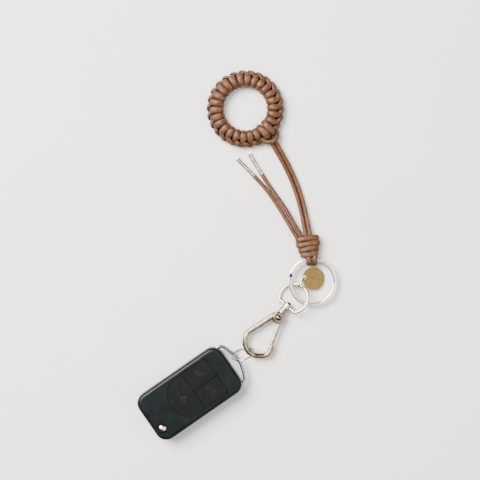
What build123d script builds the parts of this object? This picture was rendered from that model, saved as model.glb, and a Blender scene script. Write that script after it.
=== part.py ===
from build123d import *
import os
from math import acos, cos, degrees, radians, sin, tan

# Wristlet keychain, lying flat. Millimetres, +Z up from the surface it lies on, +Y towards the
# finger loop. The origin is under the middle of the outline, on that surface.

# ---- Driving dimensions -------------------------------------------------------------------
CORD_D = 3.0  # round leather cord
LINK_Z = 4.9  # height of the middle plane of the rings and the hook
GAP = 0.15  # between pieces of metal that hang on one another
FIT = 0.05  # radial clearance of a running fit
OVERLAP = 0.1  # how far a cut runs past the face that it opens

# Finger loop: a steel ring closely hitched over with cord.
LOOP_CENTRE = Vector(5.7, 104.5, LINK_Z)
CORE_RADIUS = 19.35
CORE_WIRE = 5.0
WRAP_RADIUS = 4.85
RIDGE_RADIUS = 24.9
RIDGE_HALF_WIDTH = 3.4
RIDGE_HALF_HEIGHT = 3.1
HITCH_TURN = -45.7  # where the lanyard is hitched on, from +X
HITCH_SPAN = 27.7
HITCH_PIVOT = Vector(24.2, 83.4, LINK_Z)
HITCH_HEIGHT = 7.6
HITCH_EYE_RADIUS = 3.4
HITCH_BITE = 1.5  # how far the hitch reaches into the turns on the ring
HITCH_CORNER = 1.5

# Gathering knot: four coils of cord that taper towards the split ring.
KNOT_TOP = Vector(50.05, 13.0, LINK_Z)
KNOT_BOTTOM = Vector(52.0, -2.1, LINK_Z)
KNOT_WIDTHS = (17.6, 17.9, 15.6, 13.8)
KNOT_HEIGHTS = (8.0, 8.6, 9.2, 9.6)
KNOT_ROUNDING = 1.2
KNOT_CORNER = 3.6

# Free cords: the points that their runs would meet at, without the arcs.
STANDING_ROUTES = {
    "left": (
        Vector(24.8, 79.3, 4.9),
        Vector(31.8, 67.5, 3.4),
        Vector(38.2, 54.8, 2.2),
        Vector(43.3, 41.1, 2.0),
        Vector(46.7, 26.7, 3.2),
        Vector(49.5, 11.7, 4.9),
    ),
    "right": (
        Vector(27.5, 80.9, 4.9),
        Vector(34.6, 68.9, 3.4),
        Vector(41.0, 56.0, 2.2),
        Vector(46.3, 42.1, 2.0),
        Vector(49.7, 27.3, 3.2),
        Vector(52.6, 12.3, 4.9),
    ),
}
TAIL_ROUTES = {
    "left": (
        Vector(42.7, 11.7, 4.9),
        Vector(37.2, 21.0, 4.3),
        Vector(31.8, 30.4, 3.3),
        Vector(25.8, 39.5, 2.4),
        Vector(18.7, 49.4, 1.85),
        Vector(10.74, 57.56, 1.85),
    ),
    "right": (
        Vector(46.1, 12.5, 4.9),
        Vector(40.4, 22.2, 4.3),
        Vector(34.7, 32.4, 3.3),
        Vector(29.0, 40.7, 2.4),
        Vector(22.2, 50.1, 1.85),
        Vector(16.7, 59.0, 1.85),
    ),
}
CAP_LENGTH = 17.3
CAP_D = 3.4
CAP_GRIP = 2.0  # how far the cord runs into its cap

# Rings
SPLIT_CENTRE = Vector(54.08, -20.13, LINK_Z)
SPLIT_OUTER_D = 35.0
SPLIT_BAND = 2.6
SPLIT_COIL = 1.05
SPLIT_STEP_TURN = 167
SPLIT_STEP_SPAN = 8.0
SPLIT_NOTCH = 2.0
SPLIT_SLIT = 0.06  # between the ring's two turns
SPLIT_MIDDLE_R = (SPLIT_OUTER_D - SPLIT_BAND) / 2
EYE_TURNS = {"left": 99.5, "right": 84.5}  # the two cord eyes round the split ring
EYE_RADIUS = 3.4
EYE_LEG = 4.0

SWIVEL_CENTRE = Vector(40.5, -31.85, LINK_Z)
SWIVEL_TURN = 229.0  # direction of the swivel axis, from the ring towards the hook
SWIVEL_RING_D = 23.4
SWIVEL_WIRE = 2.4
SWIVEL_BAR = 7.4  # from the ring's centre to its straight bar
BOSS_RADIUS = 2.9
BOSS_LENGTH = 2.8
SWIVEL_TILT = 18.5  # the ring leans about the swivel axis to thread the split ring

LINK_D = 17.5
LINK_WIRE = 1.2
LINK_CENTRE = Vector(4.1, -71.85, 8.05)
LINK_TURN = 16.0
LINK_TILT = 65.0

# Tag
TAG_D = 16.8
TAG_THICKNESS = 1.0
TAG_TILT = 20.0
TAG_HOLE = Vector(48.4, -16.8, 5.9)
TAG_HOLE_D = 2.8
TAG_HOLE_EDGE = 1.6  # from the disc's rim to its hole's centre
TAG_RING_D = 11.4
TAG_RING_WIRE = 1.2
TAG_RING_TURN = 233.5
TAG_TURN = -7.0

# Spring-gate hook
HOOK_PIVOT = Vector(29.4, -45.8, LINK_Z)
HOOK_CORNERS = (
    Vector(27.8, -43.1, LINK_Z),
    Vector(5.4, -57.7, LINK_Z),
    Vector(5.4, -73.3, LINK_Z),
    Vector(22.2, -73.3, LINK_Z),
    Vector(24.9, -65.7, LINK_Z),
)
HOOK_RADII = (9.0, 9.5, 5.5)
HOOK_BAND = 4.0
HOOK_THICKNESS = 4.0
HOOK_ROUNDING = 1.8
HOOK_HEAD_RADIUS = 4.5
HOOK_HEAD_HEIGHT = 5.8
HEAD_ROUNDING = 1.1
HOOK_SLOT = 3.2
HOOK_MOUTH = (224.0, 92.0)  # start and span of the slot's open side, in degrees
COLLAR_RADIUS = 2.6
COLLAR_LENGTH = 5.6
STUD_RADIUS = 1.5
STUD_HEAD = 2.4
STUD_HOLD = 3.0
RIVET_RADIUS = 1.05
RIVET_HEAD = 1.9
RIVET_HEAD_RISE = 0.7
CROWN = 0.6  # width of a rivet's or stud's crown, as a share of its head
STUD_HEAD_RISE = 1.6
TONGUE_RADIUS = 2.6
TONGUE_ROOM = 0.2
GATE_WIDTH = 2.8
GATE_THICKNESS = 2.8
GATE_SHOULDER = Vector(30.4, -49.7, LINK_Z)
GATE_END = Vector(24.2, -66.3, LINK_Z)
GATE_OPENING = 24
GATE_CUT_STEP = 3  # between the places of the gate that the hook clears
SPRING_WIRE = 0.4
SPRING_RADIUS = 1.75
SPRING_POCKET = 1.3
SPRING_PITCH = 0.44
SPRING_RISE = 0.82
SPRING_LIFT = 0.24

# Flip-key fob: places are from the fob's middle, with X along the fob.
FOB_CENTRE = Vector(-34.3, -99.8, 0)
FOB_TURN = 34.7
FOB_LENGTH = 72.0
FOB_WIDTH = 38.2
FOB_HEIGHT = 15.4
FOB_CORNER = 8.0
FOB_TOP_ROUNDING = 2.8
FOB_BASE_ROUNDING = 1.4
FOB_SPLIT = 9.3  # height of the joint between the two shells
SHELL_WALL = 1.6
SHELL_FLOOR = 1.2
CAVITY_LOW = Vector(-18.0, -8.9, SHELL_WALL)
CAVITY_HIGH = Vector(33.0, 17.4, FOB_HEIGHT - SHELL_WALL)
CAVITY_CORNER = 4.0
UPPER_CAVITY_SIDE = -16.6
KEY_PIVOT = Vector(-30.0, -9.2, 0)
KEY_SLOT = 3.0
KEY_THICKNESS = 2.6
KEY_OFFSET = -5.3
KEY_WIDTH = 7.6
KEY_LENGTH = 58.0
KEY_ARM = 11.0
KEY_WAY_END = 29.0
KEY_WAY_WALL = -10.3
KEY_WAY_BACK = 0.3
KEY_WAY_SIDE = -29.8  # edge of the room behind the hub
OUTSIDE = Vector(-40.0, -25.0, 0)  # a corner beyond the fob
BEYOND = 40.0
HUB_RADIUS = 6.0
SWEEP_RADIUS = 9.6
BLADE_THICKNESS = 2.2
BLADE_TIP = 2.6
GROOVE_START = 4.0
GROOVE_EDGE = 2.6
GROOVE_WIDTH = 2.4
GROOVE_DEPTH = 0.45
TANG_LENGTH = 7.0
TANG_MARGIN = 1.4
TANG_THICKNESS = 1.2
ROLL_PIN_RADIUS = 0.8
PIN_RADIUS = 1.5
SPRING_WELL_R = 4.6
SPRING_WELL_LOW = 2.4
KEY_SPRING_WIRE = 0.8
KEY_SPRING_PITCH = 1.1
KEY_SPRING_RISE = 2.4
KEY_SPRING_RADIUS = 3.6
KEY_SPRING_LIFT = 0.5
RELEASE_D = 7.0
RELEASE_RECESS_D = 10.3
RELEASE_RECESS = 1.0
RELEASE_LOW = 10.9
RELEASE_HIGH = 15.6
RELEASE_DOME_RADIUS = 4.6
PANEL_RIGHT = 24.0
PANEL_LEFT = -16.0
PANEL_HALF_WIDTH = 15.0
PANEL_SHOULDER = (-12.2, 10.6)
PANEL_CORNER = 3.0
PANEL_DIVIDE = 3.8  # from the fob's middle to the large button's edge
BUTTON_GAP = 0.3
BUTTON_LOW = 12.7
BUTTON_PROUD = 0.1
WEB_LOW = 10.7
WEB_THICKNESS = 1.4
WEB_MARGIN = 0.8
BAIL_WIRE = 2.4
BAIL_Z = 7.7
BAIL_ROUTE = (
    Vector(30.0, 16.3, BAIL_Z),
    Vector(38.4, 15.2, BAIL_Z),
    Vector(43.6, 0.0, BAIL_Z),
    Vector(38.4, -15.2, BAIL_Z),
    Vector(30.0, -16.3, BAIL_Z),
)
BAIL_RADII = (5.0, 20.0, 5.0)
SCREW_PLACE = Vector(-23.0, 11.0, 0)
SCREW_HEAD_RADIUS = 1.7
SCREW_HEAD_LOW = 0.3
SCREW_HEAD_HIGH = 1.5
SCREW_SHANK_RADIUS = 0.9
SCREW_TIP = 12.5
SCREW_SLOT = Vector(1.3, 0.25, 0.5)  # half length, half width and depth
COVER_LOW = Vector(-4.0, -7.8, 0)
COVER_HIGH = Vector(20.0, 16.2, SHELL_WALL)
COVER_CORNER = 4.0
COVER_LIFT = 0.1
BATTERY_PLACE = Vector(8.0, 4.2, 0)
BATTERY_RADIUS = 10.0
BATTERY_LOW = 2.0
BATTERY_HIGH = 5.2
BOARD_LOW = Vector(-17.0, -7.9, 9.4)
BOARD_HIGH = Vector(32.0, 16.4, 10.4)
BOARD_CORNER = 2.0
CHIP_LOW = Vector(-16.0, 2.0, 1.8)
CHIP_HIGH = Vector(-4.5, 8.0, 4.8)


# ---- Helpers ------------------------------------------------------------------------------
def save(shape, node):
    """Write one sub-part, named after its node."""
    shape.label = node
    export_step(shape, f"parts/{node}.step")


def direction(turn):
    """Unit vector in the XY plane, turned from +X by an angle in degrees."""
    return Vector(cos(radians(turn)), sin(radians(turn)), 0)


def bend_radius(before, corner, after):
    """Radius of the arc that takes 45% of the shorter run at a corner of a cord."""
    run_in = corner - before
    run_out = after - corner
    half_turn = radians(run_in.get_angle(run_out)) / 2
    return 0.45 * min(run_in.length, run_out.length) / tan(half_turn)


def cord(points, diameter):
    """Round cord along straight runs that are joined by tangent arcs."""
    radii = [bend_radius(*corner) for corner in zip(points, points[1:], points[2:])]
    print("bend radii", [round(radius, 1) for radius in radii])
    path = FilletPolyline(*points, radius=radii)
    return sweep(Plane(origin=path @ 0, z_dir=path % 0) * Circle(diameter / 2), path)


def rod(start, end, radius):
    """Straight round rod between two points."""
    return Plane(origin=start, z_dir=end - start) * extrude(Circle(radius), (end - start).length)


def upright(centre, radius, low, high):
    """Cylinder on a vertical axis, between two heights."""
    return Pos(centre.X, centre.Y, low) * extrude(Circle(radius), high - low)


def ring_piece(profile, start, span):
    """Revolve a profile, drawn in the XZ plane, round Z from one angle over another."""
    return Rot(0, 0, start) * revolve(profile, Axis.Z, span)


def section(radius, height, shape):
    """Place a 2-D shape in the XZ plane, at a radius from Z and a height."""
    return Plane.XZ * Pos(radius, height) * shape


# ---- Finger loop --------------------------------------------------------------------------
def finger_loop():
    """Steel ring, its cord cover and the hitch that ties the lanyard on."""
    place = Pos(LOOP_CENTRE)
    core = place * Torus(CORE_RADIUS, CORE_WIRE / 2)
    ridge = Ellipse(RIDGE_HALF_WIDTH, RIDGE_HALF_HEIGHT)
    wrap_section = section(CORE_RADIUS, 0, Circle(WRAP_RADIUS))
    cover_section = wrap_section + section(RIDGE_RADIUS, 0, ridge)
    hitch_start = HITCH_TURN - HITCH_SPAN / 2
    cover_start = hitch_start + HITCH_SPAN
    cover = place * ring_piece(cover_section, cover_start, 360 - HITCH_SPAN) - core
    hitch = place * ring_piece(wrap_section, hitch_start, HITCH_SPAN) - core
    hitch_foot = LOOP_CENTRE + direction(HITCH_TURN) * (CORE_RADIUS + WRAP_RADIUS - HITCH_BITE)
    outward = HITCH_PIVOT - hitch_foot
    eye = upright(HITCH_PIVOT, HITCH_EYE_RADIUS, LINK_Z - HITCH_HEIGHT / 2,
                  LINK_Z + HITCH_HEIGHT / 2)
    block = Plane(origin=hitch_foot, x_dir=(0, 0, 1), z_dir=outward)
    block *= extrude(RectangleRounded(HITCH_HEIGHT, 2 * HITCH_EYE_RADIUS, HITCH_CORNER), outward.length)
    hitch = hitch + (eye + block - place * ring_piece(wrap_section, 0, 360)) - cover
    save(core, "core_ring")
    save(cover, "braid_cover")
    save(hitch, "lanyard_hitch")


# ---- Lanyard ------------------------------------------------------------------------------
def eye(turn):
    """Cord bent round the split ring's wire, with both legs running up into the knot."""
    place = Plane(origin=SPLIT_CENTRE + direction(turn) * SPLIT_MIDDLE_R,
                  x_dir=direction(turn), z_dir=direction(turn + 90))
    bend = place * ring_piece(section(EYE_RADIUS, 0, Circle(CORD_D / 2)), 90, 180)
    for side in (-1, 1):
        foot = place.from_local_coords(Vector(0, side * EYE_RADIUS, 0))
        bend += rod(foot, foot + direction(turn) * EYE_LEG, CORD_D / 2)
    return bend


def knot_coil(width, height, thickness):
    """One turn of the gathering cord, as a rounded slab across the lanyard."""
    slab = extrude(RectangleRounded(width, height, KNOT_CORNER), thickness)
    ends = slab.faces().filter_by(Axis.Z).edges()
    return fillet(ends, KNOT_ROUNDING)


def lanyard():
    """Standing cords, tails with metal ends, the two eyes and the knot that gathers them."""
    inside = []
    for name, route in STANDING_ROUTES.items():
        inside.append(cord(route, CORD_D))
        save(inside[-1], f"standing_cord_{name}")
    for name, route in TAIL_ROUTES.items():
        inside.append(cord(route, CORD_D))
        save(inside[-1], f"tail_cord_{name}")
        along = (route[-1] - route[-2]).normalized()
        mouth = route[-1] - along * CAP_GRIP
        cap = rod(mouth, mouth + along * CAP_LENGTH, CAP_D / 2) - rod(mouth, route[-1], CORD_D / 2)
        save(cap, f"tail_cap_{name}")
    for name, turn in EYE_TURNS.items():
        inside.append(eye(turn))
        save(inside[-1], f"ring_eye_{name}")
    down = KNOT_BOTTOM - KNOT_TOP
    pitch = down.length / len(KNOT_WIDTHS)
    knot = None
    for index, (width, height) in enumerate(zip(KNOT_WIDTHS, KNOT_HEIGHTS)):
        place = Plane(origin=KNOT_TOP + down * (index / len(KNOT_WIDTHS)),
                      x_dir=(0, 0, 1), z_dir=down)
        coil = place * Rot(0, 0, 90) * knot_coil(width, height, pitch)
        knot = coil if knot is None else knot + coil
    for piece in inside:
        knot -= piece
    save(knot, "gathering_knot")


# ---- Rings --------------------------------------------------------------------------------
def split_ring():
    """Flat wire wound twice, with the step where one turn passes to the other."""
    rise = SPLIT_COIL / 2 + SPLIT_SLIT / 2
    flat = Rectangle(SPLIT_BAND, SPLIT_COIL)
    upper = section(SPLIT_MIDDLE_R, rise, flat)
    lower = section(SPLIT_MIDDLE_R, -rise, flat)
    step = section(SPLIT_MIDDLE_R, 0, Rectangle(SPLIT_BAND, 2 * SPLIT_COIL + SPLIT_SLIT))
    turn = 360 - SPLIT_STEP_SPAN - SPLIT_NOTCH
    start = SPLIT_STEP_TURN - SPLIT_STEP_SPAN / 2
    ring = ring_piece(step, start, SPLIT_STEP_SPAN)
    ring += ring_piece(upper, start + SPLIT_STEP_SPAN, turn)
    ring += ring_piece(lower, start + SPLIT_STEP_SPAN + SPLIT_NOTCH, turn)
    save(Pos(SPLIT_CENTRE) * ring, "split_ring")


def swivel_plane():
    """Plane of the swivel ring: X along the swivel axis, leaning about that axis."""
    axis = direction(SWIVEL_TURN)
    side = direction(SWIVEL_TURN + 90)
    lean = radians(SWIVEL_TILT)
    return Plane(origin=SWIVEL_CENTRE, x_dir=axis, z_dir=Vector(0, 0, cos(lean)) - side * sin(lean))


def swivel_ring():
    """D-shaped ring with a bored boss in the middle of its straight bar."""
    radius = (SWIVEL_RING_D - SWIVEL_WIRE) / 2
    wire = SWIVEL_WIRE / 2
    corner_turn = degrees(acos(SWIVEL_BAR / radius))
    half_bar = radius * sin(radians(corner_turn))
    ring = ring_piece(section(radius, 0, Circle(wire)), corner_turn, 360 - 2 * corner_turn)
    corners = [Vector(SWIVEL_BAR, side * half_bar, 0) for side in (-1, 1)]
    ring += rod(*corners, wire)
    for corner in corners:
        ring += Pos(corner) * Sphere(wire)
    boss_start = Vector(SWIVEL_BAR - BOSS_LENGTH / 2, 0, 0)
    boss_end = Vector(SWIVEL_BAR + BOSS_LENGTH / 2, 0, 0)
    ring += rod(boss_start, boss_end, BOSS_RADIUS)
    ring -= rod(boss_start, boss_end, STUD_RADIUS + FIT)
    save(swivel_plane() * ring, "swivel_ring")


def standing_ring(centre, turn, tilt, outer, wire):
    """Round ring whose plane holds the horizontal direction `turn` and leans by `tilt`."""
    normal = Vector(0, 0, cos(radians(tilt))) + direction(turn + 90) * sin(radians(tilt))
    place = Plane(origin=centre, x_dir=direction(turn), z_dir=normal)
    return place * Torus((outer - wire) / 2, wire / 2)


def tag():
    """Plain metal disc on its jump ring."""
    ring_radius = (TAG_RING_D - TAG_RING_WIRE) / 2
    centre = TAG_HOLE - direction(TAG_RING_TURN + 180) * ring_radius
    save(standing_ring(centre, TAG_RING_TURN, 90, TAG_RING_D, TAG_RING_WIRE), "tag_jump_ring")
    reach = TAG_D / 2 - TAG_HOLE_EDGE
    disc = Pos(reach, 0, -TAG_THICKNESS / 2) * extrude(Circle(TAG_D / 2), TAG_THICKNESS)
    disc -= Pos(0, 0, -TAG_THICKNESS) * extrude(Circle(TAG_HOLE_D / 2), 2 * TAG_THICKNESS)
    save(Pos(TAG_HOLE) * Rot(0, TAG_TILT, 0) * Rot(0, 0, TAG_TURN) * disc, "tag_disc")


# ---- Hook ---------------------------------------------------------------------------------
def stadium(start, end, width, low, high):
    """Upright bar with round ends, between two points of the plan."""
    run = Vector(end.X - start.X, end.Y - start.Y, 0)
    outline = SlotCenterToCenter(run.length, width)
    turn = Vector(1, 0, 0).get_signed_angle(run, Vector(0, 0, 1))
    middle = (start + end) * 0.5
    return Pos(middle.X, middle.Y, low) * Rot(0, 0, turn) * extrude(outline, high - low)


def gate_shape(grow=0.0):
    """Gate with its round tongue, thickened all round by `grow`."""
    low = LINK_Z - GATE_THICKNESS / 2 - grow
    high = LINK_Z + GATE_THICKNESS / 2 + grow
    width = GATE_WIDTH + 2 * grow
    shape = upright(HOOK_PIVOT, TONGUE_RADIUS + grow, low, high)
    shape += stadium(HOOK_PIVOT, GATE_SHOULDER, width, low, high)
    return shape + stadium(GATE_SHOULDER, GATE_END, width, low, high)


def hook():
    """Cast hook with its swivel stud, the gate and the gate's rivet and spring."""
    axis = direction(SWIVEL_TURN)
    boss_face = SWIVEL_CENTRE + axis * (SWIVEL_BAR + BOSS_LENGTH / 2 + GAP)
    inner_face = SWIVEL_CENTRE + axis * (SWIVEL_BAR - BOSS_LENGTH / 2 - GAP)
    path = FilletPolyline(*HOOK_CORNERS, radius=HOOK_RADII)
    band = RectangleRounded(HOOK_BAND, HOOK_THICKNESS, HOOK_ROUNDING)
    body = sweep(Plane(origin=path @ 0, x_dir=(0, 0, 1), z_dir=path % 0) * band, path)
    low = LINK_Z - HOOK_HEAD_HEIGHT / 2
    high = LINK_Z + HOOK_HEAD_HEIGHT / 2
    head_block = upright(HOOK_PIVOT, HOOK_HEAD_RADIUS, low, high)
    rims = head_block.edges().filter_by(GeomType.CIRCLE)
    body += fillet(rims, HEAD_ROUNDING)
    body += rod(boss_face, boss_face + axis * COLLAR_LENGTH, COLLAR_RADIUS)
    slot_low = LINK_Z - HOOK_SLOT / 2
    slot_high = LINK_Z + HOOK_SLOT / 2
    body -= upright(HOOK_PIVOT, TONGUE_RADIUS + TONGUE_ROOM, slot_low, slot_high)
    mouth = section(HOOK_HEAD_RADIUS, 0, Rectangle(2 * HOOK_HEAD_RADIUS, HOOK_SLOT))
    body -= Pos(HOOK_PIVOT) * ring_piece(mouth, *HOOK_MOUTH)
    for turn in range(0, GATE_OPENING + GATE_CUT_STEP, GATE_CUT_STEP):
        grown = gate_shape(GAP)
        body -= Pos(HOOK_PIVOT) * Rot(0, 0, -turn) * Pos(-HOOK_PIVOT) * grown
    rivet = upright(HOOK_PIVOT, RIVET_RADIUS, low, high)
    body -= rivet
    head = Pos(HOOK_PIVOT.X, HOOK_PIVOT.Y, 0)
    head *= Cone(RIVET_HEAD, RIVET_HEAD * CROWN, RIVET_HEAD_RISE)
    rivet += Pos(0, 0, high + RIVET_HEAD_RISE / 2) * head
    rivet += Pos(0, 0, low - RIVET_HEAD_RISE / 2) * mirror(head, Plane.XY)
    stud = rod(inner_face, boss_face + axis * STUD_HOLD, STUD_RADIUS)
    body -= stud
    stud_head = Pos(0, 0, STUD_HEAD_RISE / 2) * Cone(STUD_HEAD, STUD_HEAD * CROWN, STUD_HEAD_RISE)
    stud += Plane(origin=inner_face, z_dir=-axis) * stud_head
    save(body, "hook_body")
    save(stud, "swivel_stud")
    save(rivet, "gate_rivet")
    gate = gate_shape() - upright(HOOK_PIVOT, RIVET_RADIUS + FIT, low, high)
    pocket = LINK_Z + GATE_THICKNESS / 2 - SPRING_POCKET
    gate -= upright(HOOK_PIVOT, SPRING_RADIUS + SPRING_WIRE, pocket, high)
    save(gate, "hook_gate")
    coil = Helix(SPRING_PITCH, SPRING_RISE, SPRING_RADIUS)
    wire_end = Plane(origin=coil @ 0, z_dir=coil % 0) * Circle(SPRING_WIRE / 2)
    wire = sweep(wire_end, coil, is_frenet=True)
    save(Pos(HOOK_PIVOT.X, HOOK_PIVOT.Y, pocket + SPRING_LIFT) * wire, "gate_spring")


# ---- Flip-key fob -------------------------------------------------------------------------
def in_fob(shape):
    """Place a shape that is drawn about the fob's middle, with X along the fob."""
    return Pos(FOB_CENTRE) * Rot(0, 0, FOB_TURN) * shape


def block(low, high, radius=0.0):
    """Upright block between two corners, with rounded upright edges."""
    size = high - low
    outline = RectangleRounded(size.X, size.Y, radius) if radius else Rectangle(size.X, size.Y)
    return Pos((low.X + high.X) / 2, (low.Y + high.Y) / 2, low.Z) * extrude(outline, size.Z)


def panel_face(shrink=0.0):
    """Shield-shaped outline of the button panel: square at one end, round at the other."""
    right = PANEL_RIGHT - shrink
    half = PANEL_HALF_WIDTH - shrink
    edges = Line((0, half), (right, half))
    edges += Line((right, half), (right, -half))
    edges += Line((right, -half), (0, -half))
    shoulder = Vector(PANEL_SHOULDER) * (half / PANEL_HALF_WIDTH)
    edges += ThreePointArc((0, -half), (shoulder.X, -shoulder.Y), (PANEL_LEFT + shrink, 0))
    edges += ThreePointArc((PANEL_LEFT + shrink, 0), (shoulder.X, shoulder.Y), (0, half))
    return fillet(make_face(edges).vertices().sort_by(Axis.X)[-2:], PANEL_CORNER)


def shells():
    """Outer blocks of the two shells, before anything is let into them."""
    outline = RectangleRounded(FOB_LENGTH, FOB_WIDTH, FOB_CORNER)
    lower = extrude(outline, FOB_SPLIT)
    lower = fillet(lower.faces().sort_by(Axis.Z)[0].edges(), FOB_BASE_ROUNDING)
    upper = Pos(0, 0, FOB_SPLIT) * extrude(outline, FOB_HEIGHT - FOB_SPLIT)
    upper = fillet(upper.faces().sort_by(Axis.Z)[-1].edges(), FOB_TOP_ROUNDING)
    return lower, upper


def key_way():
    """Room that the key sweeps as it turns out of the fob's side and end."""
    top = FOB_SPLIT
    floor = top - KEY_SLOT
    corner = OUTSIDE + Vector(0, 0, floor)
    side = block(corner, Vector(KEY_WAY_END, KEY_WAY_WALL, top))
    end = block(corner, Vector(KEY_WAY_SIDE, KEY_WAY_BACK, top))
    return side + end + upright(KEY_PIVOT, SWEEP_RADIUS, floor, top)


def flip_key():
    """Blade, hub and roll pin, folded into the fob's side."""
    low = FOB_SPLIT - KEY_SLOT + (KEY_SLOT - KEY_THICKNESS) / 2
    high = low + KEY_THICKNESS
    near = KEY_PIVOT.Y + KEY_OFFSET + KEY_WIDTH / 2
    far = near - KEY_WIDTH
    root = KEY_PIVOT.X + KEY_ARM
    hub = upright(KEY_PIVOT, HUB_RADIUS, low, high)
    hub += block(Vector(KEY_PIVOT.X, far, low), Vector(root, near, high))
    hub -= upright(KEY_PIVOT, PIN_RADIUS + FIT, low, high)
    middle = (low + high) / 2
    face = BLADE_THICKNESS / 2
    tip = KEY_PIVOT.X + KEY_LENGTH
    blade = block(Vector(root, far, middle - face), Vector(tip, near, middle + face))
    blade = chamfer(blade.edges().filter_by(Axis.Z).sort_by(Axis.X)[-2:], BLADE_TIP)
    for side in (-1, 1):
        low_corner = Vector(root + GROOVE_START, far + GROOVE_EDGE, middle + side * face - GROOVE_DEPTH)
        size = Vector(tip + 1 - low_corner.X, GROOVE_WIDTH, 2 * GROOVE_DEPTH)
        groove = block(low_corner, low_corner + size)
        blade -= groove
    tang = block(Vector(root - TANG_LENGTH, far + TANG_MARGIN, middle - TANG_THICKNESS / 2),
                 Vector(root, near - TANG_MARGIN, middle + TANG_THICKNESS / 2))
    pin_place = Vector(root - TANG_LENGTH / 2, (near + far) / 2, 0)
    pin = upright(pin_place, ROLL_PIN_RADIUS, low, high)
    blade += tang
    save(in_fob(hub - blade - pin), "fob_key_hub")
    save(in_fob(blade - pin), "fob_key_blade")
    save(in_fob(pin), "fob_roll_pin")


def buttons():
    """Three push buttons that share the panel, and the rubber web under them."""
    height = FOB_HEIGHT + BUTTON_PROUD - BUTTON_LOW
    cap = Pos(0, 0, BUTTON_LOW) * extrude(panel_face(BUTTON_GAP), height)
    half_gap = BUTTON_GAP / 2
    parts = {
        "large": block(Vector(-BEYOND, -BEYOND, 0), Vector(PANEL_DIVIDE - half_gap, BEYOND, BEYOND)),
        "top": block(Vector(PANEL_DIVIDE + half_gap, half_gap, 0), Vector(BEYOND, BEYOND, BEYOND)),
        "right": block(Vector(PANEL_DIVIDE + half_gap, -BEYOND, 0), Vector(BEYOND, -half_gap, BEYOND)),
    }
    for name, region in parts.items():
        save(in_fob(cap & region), f"fob_button_{name}")
    web = Pos(0, 0, WEB_LOW) * extrude(panel_face(-WEB_MARGIN), WEB_THICKNESS)
    save(in_fob(web), "fob_button_web")


def fob():
    """Two shells, the bail and everything that is let into or held between them."""
    lower, upper = shells()
    bail_path = FilletPolyline(*BAIL_ROUTE, radius=BAIL_RADII)
    bail_end = Plane(origin=bail_path @ 0, z_dir=bail_path % 0) * Circle(BAIL_WIRE / 2)
    bail = sweep(bail_end, bail_path)
    cavity = block(CAVITY_LOW, CAVITY_HIGH, CAVITY_CORNER)
    side_corner = Vector(CAVITY_LOW.X, UPPER_CAVITY_SIDE, FOB_SPLIT + SHELL_FLOOR)
    lower -= cavity
    upper -= cavity
    upper -= block(side_corner, CAVITY_HIGH, CAVITY_CORNER)
    upper -= Pos(0, 0, CAVITY_HIGH.Z - OVERLAP) * extrude(panel_face(), FOB_HEIGHT)
    lower -= key_way()
    upper -= upright(KEY_PIVOT, RELEASE_D / 2 + FIT, FOB_SPLIT, FOB_HEIGHT)
    upper -= upright(KEY_PIVOT, RELEASE_RECESS_D / 2, FOB_HEIGHT - RELEASE_RECESS, FOB_HEIGHT)
    lower -= upright(KEY_PIVOT, SPRING_WELL_R, SPRING_WELL_LOW, FOB_SPLIT)
    pin = upright(KEY_PIVOT, PIN_RADIUS, SHELL_WALL, FOB_SPLIT - OVERLAP)
    shank = upright(SCREW_PLACE, SCREW_SHANK_RADIUS, SCREW_HEAD_HIGH, SCREW_TIP)
    slot_middle = SCREW_PLACE + Vector(0, 0, SCREW_HEAD_LOW)
    screw = upright(SCREW_PLACE, SCREW_HEAD_RADIUS, SCREW_HEAD_LOW, SCREW_HEAD_HIGH) + shank
    screw -= block(slot_middle - SCREW_SLOT, slot_middle + SCREW_SLOT)
    screw_room = upright(SCREW_PLACE, SCREW_HEAD_RADIUS, 0, SCREW_HEAD_HIGH) + shank
    cover_window = block(COVER_LOW, COVER_HIGH, COVER_CORNER)
    cover = block(COVER_LOW + Vector(FIT, FIT, COVER_LIFT), COVER_HIGH - Vector(FIT, FIT, 0), COVER_CORNER)
    save(in_fob(lower - bail - pin - screw_room - cover_window), "fob_lower_shell")
    save(in_fob(upper - bail - screw_room), "fob_upper_shell")
    save(in_fob(bail), "fob_bail")
    save(in_fob(cover), "fob_battery_cover")
    save(in_fob(pin), "fob_key_pivot_pin")
    save(in_fob(screw), "fob_screw")
    save(in_fob(upright(BATTERY_PLACE, BATTERY_RADIUS, BATTERY_LOW, BATTERY_HIGH)), "fob_battery")
    save(in_fob(block(BOARD_LOW, BOARD_HIGH, BOARD_CORNER)), "fob_circuit_board")
    save(in_fob(block(CHIP_LOW, CHIP_HIGH)), "fob_transponder")
    coil = Helix(KEY_SPRING_PITCH, KEY_SPRING_RISE, KEY_SPRING_RADIUS)
    wire_end = Plane(origin=coil @ 0, z_dir=coil % 0) * Circle(KEY_SPRING_WIRE / 2)
    spring_place = Pos(KEY_PIVOT.X, KEY_PIVOT.Y, SPRING_WELL_LOW + KEY_SPRING_LIFT)
    save(in_fob(spring_place * sweep(wire_end, coil, is_frenet=True)), "fob_key_spring")
    release = upright(KEY_PIVOT, RELEASE_D / 2, RELEASE_LOW, RELEASE_HIGH)
    dome_centre = Pos(KEY_PIVOT.X, KEY_PIVOT.Y, RELEASE_HIGH - RELEASE_DOME_RADIUS)
    release &= dome_centre * Sphere(RELEASE_DOME_RADIUS)
    save(in_fob(release), "fob_release_button")


def main():
    os.makedirs("parts", exist_ok=True)
    finger_loop()
    lanyard()
    split_ring()
    swivel_ring()
    tag()
    hook()
    save(standing_ring(LINK_CENTRE, LINK_TURN, LINK_TILT, LINK_D, LINK_WIRE), "fob_link_ring")
    fob()
    flip_key()
    buttons()


main()
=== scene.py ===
import math
import random

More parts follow.
